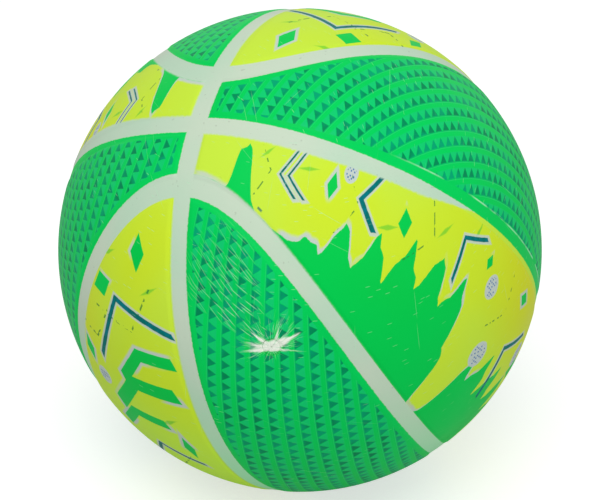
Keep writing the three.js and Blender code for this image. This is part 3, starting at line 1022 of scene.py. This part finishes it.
def grownPiece(name, shape, values, material, turn):  # runs a tree once and keeps the plain mesh
    seed = bpy.data.objects.new(name + "_seed", bpy.data.meshes.new(name + "_seed"))
    bpy.context.scene.collection.objects.link(seed)
    modifier = seed.modifiers.new("grow", "NODES")
    modifier.node_group = shape.tree
    for label, value in {**values, "Material": material}.items():
        modifier[shape.sockets[label]] = value
    bpy.context.view_layer.update()
    graph = bpy.context.evaluated_depsgraph_get()
    mesh = bpy.data.meshes.new_from_object(seed.evaluated_get(graph), depsgraph=graph)
    bpy.data.objects.remove(seed)
    mesh.name = name
    mesh.transform((ballTurn @ turn).to_matrix().to_4x4())
    piece = bpy.data.objects.new(name, mesh)
    bpy.context.scene.collection.objects.link(piece)
    return piece


def merge(edit):
    bmesh.ops.remove_doubles(edit, verts=edit.verts, dist=2e-6)


def mergeAndCap(edit):  # the swept strips are open at their two ends
    merge(edit)
    bmesh.ops.holes_fill(edit, edges=[edge for edge in edit.edges if edge.is_boundary], sides=0)


# A strip's sides reach a hair under the panels, so that no slit shows
strip = {"alongSteps": 240, "acrossSteps": 8, "sideReach": 0.00004, "endReach": 0.0004, "crown": 0.00004}


def stripShape():
    shape = Shape("seam_strip_shape", {
        "Float": ("Half length", "Half width", "Start", "End", "Reach", "Top", "Bottom", "Crown"),
        "Int": ("Steps",), "Material": ("Material",)})
    give = shape.given
    half = strip["acrossSteps"]
    loop = 2 * half + 2  # points round the section
    index = shape.add("GeometryNodeInputIndex")
    column = shape.math("FLOOR", (index + 0.5) / (loop + 1))
    row = shape.math("MODULO", index - column * (loop + 1), loop)
    lower = shape.math("GREATER_THAN", row, half + 0.5)
    place = row / half * (1 - lower) + (1 - (row - half - 1) / half) * lower  # 0 to 1 over the top, back under it
    side = place * 2 - 1
    turn = give("Start") + (give("End") - give("Start")) * column / (give("Steps") - 1)
    direction = shape.besidePoint(give("Half length"), give("Half width"), turn, side * give("Reach"))
    crowned = give("Top") + give("Crown") * (1 - side * side)
    radius = crowned * (1 - lower) + give("Bottom") * lower
    moved = shape.place(shape.grid(give("Steps"), loop + 1), shape.times(direction, radius))
    merged = shape.add("GeometryNodeMergeByDistance", {}, {"Geometry": moved, "Distance": 1e-6})
    shape.close(merged, give("Material"))
    return shape


def makeStrips():
    shape = stripShape()
    steps = strip["alongSteps"]
    common = {"Top": ball["radius"] - ball["seamDepth"], "Bottom": panelInside, "Crown": strip["crown"],
              "Reach": panelMargin + strip["sideReach"] / ball["radius"]}
    endMargin = panelMargin - strip["endReach"] / ball["radius"]
    circle, oval = (pi / 2, pi / 2), (ball["ovalHalfLength"], ball["ovalHalfWidth"])
    made = [("long", circle, 0.0, 2 * pi, 2 * steps + 1, Quaternion((0, 0, 1), pi / 2))]
    start = turnClearOf(crossSeam, 0.0, endMargin)
    for half in ("left", "right"):
        made.append(("cross_" + half, circle, start, pi - start, steps, quarters["upper_" + half]))
    start = turnClearOf(ovalSeam, 0.0, endMargin)
    for quarter, turn in quarters.items():
        made.append(("oval_" + quarter, oval, start, pi - start, steps, turn))
    for name, (length, width), start, end, count, turn in made:
        values = {**common, "Half length": length, "Half width": width, "Start": start, "End": end, "Steps": count}
        piece = grownPiece("pale_strip_" + name, shape, values, materials["seam"], turn)
        rework(piece, mergeAndCap)
        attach(piece, "ball")
        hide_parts("seam_strip_" + name)


makeStrips()
print("seam strips made")

sidePanel = {"along": 200, "across": 56}


def sidePanelRule():  # a point of the panel from its place in the sheet, 0 to 1 along and across
    rule = Shape("side_panel_rule", {
        "Vector": ("Place",),
        "Float": ("Half length", "Half width", "Margin", "Oval start", "Cross start", "Radius")}, "Vector")
    give = rule.given
    along = rule.add("ShaderNodeSeparateXYZ", {}, {0: give("Place")})
    across = along.twin("Y")

    def end(start, length, width, angle):
        return rule.besidePoint(length, width, start + (pi - 2 * start) * along, angle)

    ovalEnd = end(give("Oval start"), give("Half length"), give("Half width"), give("Margin"))
    crossEnd = end(give("Cross start"), pi / 2, pi / 2, -give("Margin"))
    whole = rule.math("ARCCOSINE", rule.vector("DOT_PRODUCT", ovalEnd, crossEnd, output="Value"))
    under = rule.math("SINE", whole)
    first = rule.times(ovalEnd, rule.math("SINE", (1 - across) * whole) / under)
    second = rule.times(crossEnd, rule.math("SINE", across * whole) / under)
    rule.end("NodeGroupOutput", rule.times(rule.vector("ADD", first, second), give("Radius")))
    return rule


def sidePanelShape():
    loops = panelMesh["edgeLoops"]
    starts = [f"{seam} start {k}" for k in range(loops + 1) for seam in ("Oval", "Cross")]
    shape = Shape("side_panel_shape", {
        "Float": ("Half length", "Half width", "Margin", "Edge width", "Top", "Edge drop", "Bottom", *starts),
        "Int": ("Along", "Across"), "Material": ("Material",)})
    rule = sidePanelRule()
    give = shape.given

    def point(k, radius):  # the rule at edge step k
        place = shape.add("GeometryNodeInputNamedAttribute", {"data_type": "FLOAT_VECTOR"}, {"Name": "rule"})
        margin = give("Margin") + give("Edge width") * (1 - k / loops)
        return shape.add("GeometryNodeGroup", {"node_tree": rule.tree}, {
            "Place": place, "Half length": give("Half length"), "Half width": give("Half width"), "Margin": margin,
            "Oval start": give(f"Oval start {k}"), "Cross start": give(f"Cross start {k}"), "Radius": radius})

    def sheet():  # remembers its flat place when it is bent later
        place = shape.vector("ADD", shape.add("GeometryNodeInputPosition"), (0.5, 0.5, 0.0))
        return shape.add("GeometryNodeStoreNamedAttribute", {"data_type": "FLOAT_VECTOR", "domain": "POINT"},
                         {"Geometry": shape.grid(give("Along"), give("Across")), "Name": "rule", "Value": place})

    neighbours = shape.add("GeometryNodeInputMeshEdgeNeighbors")
    rim = shape.add("FunctionNodeCompare", {"data_type": "INT", "operation": "EQUAL"}, {2: neighbours, 3: 1})
    geometry = shape.place(sheet(), point(0, give("Top")))
    levels = [(k, give("Top") - give("Edge drop") * softStep(k / loops)) for k in range(1, loops + 1)]
    for k, radius in levels + [(loops, give("Bottom"))]:
        extruded = shape.add("GeometryNodeExtrudeMesh", {"mode": "EDGES"},
                             {"Mesh": geometry, "Selection": rim, "Offset Scale": 0.0})
        rim = extruded.twin("Top")
        geometry = shape.place(extruded, point(k, radius), Selection=rim)
    inner = shape.add("GeometryNodeFlipFaces", {}, {"Mesh": shape.place(sheet(), point(loops, give("Bottom")))})
    both = shape.add("GeometryNodeJoinGeometry")
    for part in (geometry, inner):
        shape.feed(both.socket.node.inputs[0], part)
    merged = shape.add("GeometryNodeMergeByDistance", {}, {"Geometry": both, "Distance": 2e-6})
    shape.close(merged, give("Material"))
    return shape


def makeSidePanels():
    shape = sidePanelShape()
    values = {"Half length": ball["ovalHalfLength"], "Half width": ball["ovalHalfWidth"],
              "Margin": panelMargin, "Edge width": edgeMargin, "Top": ball["radius"],
              "Edge drop": ball["seamDepth"], "Bottom": panelInside,
              "Along": sidePanel["along"], "Across": sidePanel["across"]}
    for k in range(panelMesh["edgeLoops"] + 1):
        margin = panelMargin + edgeMargin * (1 - k / panelMesh["edgeLoops"])
        values[f"Oval start {k}"] = turnClearOf(ovalSeam, margin, margin)
        values[f"Cross start {k}"] = turnClearOf(crossSeam, -margin, margin)
    for quarter, turn in quarters.items():
        name = "side_panel_" + quarter
        piece = grownPiece("cover_" + name, shape, values, materials[panelColours[name]], turn)
        rework(piece, merge)
        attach(piece, "ball")
        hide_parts(name)


makeSidePanels()
print("side panels made")

# Valve pieces, turned round the valve's axis


def turnedPiece(name, profile, wobble, material, capped=False):  # profile of radii and heights on the valve's axis
    sides = valve["sides"]
    points, faces = [], []
    for radius, height in profile:
        for n in range(sides):
            angle = 2 * pi * n / sides
            r, h = wobble(radius, height, angle)
            points.append(valveDirection * h + mouthSide * (r * cos(angle)) + mouthUp * (r * sin(angle)))
    for start in range(0, len(points) - sides, sides):
        for n in range(sides):
            m = (n + 1) % sides
            faces.append((start + n, start + m, start + sides + m, start + sides + n))
    if capped:
        faces.append(tuple(range(sides)))
        faces.append(tuple(reversed(range(len(points) - sides, len(points)))))
    piece = meshPiece(name, points, faces, material)
    rework(piece, merge)
    return piece


def rounded(corners, size, steps=4):  # each corner of a profile is rounded by a small arc
    out = []
    for i, corner in enumerate(corners):
        here = Vector(corner)
        if i in (0, len(corners) - 1):
            out.append(tuple(here))
            continue
        before, after = Vector(corners[i - 1]), Vector(corners[i + 1])
        cut = min(size, (before - here).length * 0.45, (after - here).length * 0.45)
        first, last = here + (before - here).normalized() * cut, here + (after - here).normalized() * cut
        for k in range(steps + 1):
            f = k / steps
            out.append(tuple(first * (1 - f) ** 2 + here * 2 * f * (1 - f) + last * f**2))
    return out


def onLayer(layerRadius, radius):  # a point of a profile on a round layer about the ball's middle
    return radius, sqrt(layerRadius**2 - radius**2)


def makeValve():
    head, shank, stem, neck = (valve[part + "Radius"] for part in ("head", "shank", "stem", "neck"))
    top = ball["radius"] - valve["sink"]
    under = top - valve["headThickness"]
    bore, recess, seat = shank + valve["gap"], head + valve["gap"], under - valve["gap"]
    flangeTop, flangeEnd = valve["flangeTop"], valve["flangeRadius"]
    flangeBottom, flangeMiddle = flangeTop - valve["flangeThickness"], (flangeEnd + neck) / 2
    stemBottom = onLayer(flangeBottom, stem)[1] - valve["stemLength"]
    rim = top - valve["rimDrop"]
    corners = [(bore, seat), (bore, stemBottom), (stem, stemBottom)]
    corners += [onLayer(flangeBottom, radius) for radius in (stem, flangeMiddle, flangeEnd)]
    corners += [onLayer(flangeTop, radius) for radius in (flangeEnd, flangeMiddle, neck)]
    corners += [(neck, rim), (recess, rim), (recess, seat), (bore, seat)]

    def crumple(radius, height, angle):  # the mouth is gathered in folds
        if height > top - valve["foldDepth"] and radius > recess - valve["edgeDrop"]:
            return radius, height + valve["folds"] * (wrinkle(angle * 2 + 0.5) - 1)
        return radius, height

    profile = rounded(corners, valve["housingRounding"])
    housing = turnedPiece("gathered_valve_housing", profile, crumple, materials["valve"])
    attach(housing, "ball")
    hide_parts("valve_housing")

    hole, wide, axis = valve["needleMouth"], valve["needleRadius"], 0.00001
    edge, narrow, wider, end = (top - valve[key] for key in ("edgeDrop", "neckDepth", "wideDepth", "needleDepth"))
    corners = [(axis, stemBottom), (valve["tipRadius"], stemBottom), (shank, stemBottom + valve["tipLength"]),
               (shank, under), (head, under), (head, edge), (head * valve["crownShare"], top - valve["crownDrop"]),
               (hole * 3, top - valve["holeDrop"]), (hole, edge), (hole, narrow), (wide, wider), (wide, end),
               (axis, end)]

    def pinch(radius, height, angle):  # the head is drawn together a little, round its hole
        if height > under + valve["pinchStart"] and radius > hole * 2:
            drawn = wrinkle(angle + radius * valve["pinchTwist"]) * min(1, radius / valve["pinchSpan"])
            return radius, height + valve["folds"] * (drawn - 1)
        return radius, height

    profile = rounded(corners, valve["plugRounding"])
    plug = turnedPiece("white_valve_plug", profile, pinch, materials["plug"], capped=True)
    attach(plug, "plug")
    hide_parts("valve_plug")


makeValve()
print("valve made")

for node in ("carcass", "bladder"):
    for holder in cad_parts[node].material_slots:
        holder.material = materials[node]

# Floor, world and lamps

studio = {
    "sky": 0.53,
    "floorColour": 0.62,
    "floorGlow": 0.58,  # seen by the camera alone
    "floorSize": 12,
    # Place, size and power of each lamp
    "lamps": {"key_softbox": ((-0.15, -0.75, 1.45), 1.3, 13.2), "fill_softbox": ((1.0, -1.0, 0.5), 1.0, 2.4)},
}


def makeStudio():
    scene = bpy.context.scene
    scene.world = bpy.data.worlds.new("pale_studio")
    board = emptyBoard(scene.world)
    rays = ("Is Camera Ray", "Is Glossy Ray", "Is Transmission Ray")  # these see white, the rest takes less light
    seen = board.most(*(board.add("ShaderNodeLightPath", output=ray) for ray in rays))
    strength = board.between(seen, studio["sky"], 1.0)
    back = board.add("ShaderNodeBackground", {}, {"Color": (1, 1, 1, 1), "Strength": strength})
    board.end("ShaderNodeOutputWorld", back)

    floorPaint = bpy.data.materials.new("pale_floor")
    board = emptyBoard(floorPaint)
    tone = studio["floorColour"]
    matt = board.add("ShaderNodeBsdfDiffuse", {}, {"Color": (tone, tone, tone, 1)})
    strength = board.add("ShaderNodeLightPath", output="Is Camera Ray") * studio["floorGlow"]
    glow = board.add("ShaderNodeEmission", {}, {"Strength": strength})
    board.end("ShaderNodeOutputMaterial", board.add("ShaderNodeAddShader", {}, {0: matt, 1: glow}))
    half = studio["floorSize"] / 2
    corners = [(x * half, y * half, floorHeight) for x, y in ((-1, -1), (1, -1), (1, 1), (-1, 1))]
    floor = meshPiece("studio_floor", corners, [(0, 1, 2, 3)], floorPaint, smooth=False)

    for name, (place, size, power) in studio["lamps"].items():
        light = bpy.data.lights.new(name, "AREA")
        light.shape, light.size, light.energy = "DISK", size, power
        lamp = bpy.data.objects.new(name, light)
        scene.collection.objects.link(lamp)
        lamp.location = place
        lamp.rotation_euler = (-Vector(place)).to_track_quat("-Z", "Y").to_euler()


makeStudio()
print("studio made")
